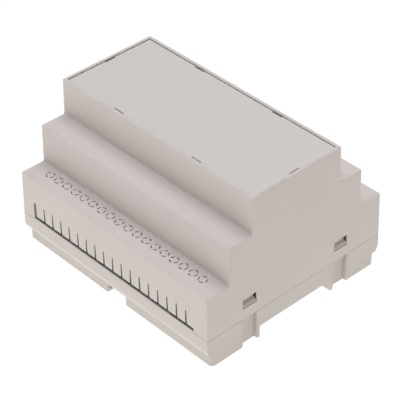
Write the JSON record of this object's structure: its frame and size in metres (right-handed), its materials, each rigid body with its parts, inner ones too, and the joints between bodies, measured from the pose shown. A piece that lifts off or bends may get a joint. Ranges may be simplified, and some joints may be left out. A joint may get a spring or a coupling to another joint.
{
  "type": "din rail enclosure",
  "caption": "Stepped plastic enclosure that clips on a 35 mm rail, with knock-outs and break-away tabs over the terminals, a snap-fitted cover, a front panel and a sprung rail latch.",
  "frame": {"origin": "middle of the underside of the feet", "axes": "+X along the rail, +Y across the rail away from the latch side, +Z away from the rail towards the front panel"},
  "size_m": [0.105, 0.09, 0.0654],
  "materials": {
    "housing": "satin, fine moulded grain, light warm grey"
  },
  "bodies": {
    "case": {"base": "housing", "cover": "housing", "front_panel": "housing"},
    "latch": {"rail_latch": "housing"}
  },
  "joints": [
    {"name": "latch_slide", "type": "slide", "parent": "case", "child": "latch", "axis": [0, -1, 0], "range_m": [0, 0.0027], "stiffness_N_per_m": 2000, "springref_m": -0.001}
  ]
}
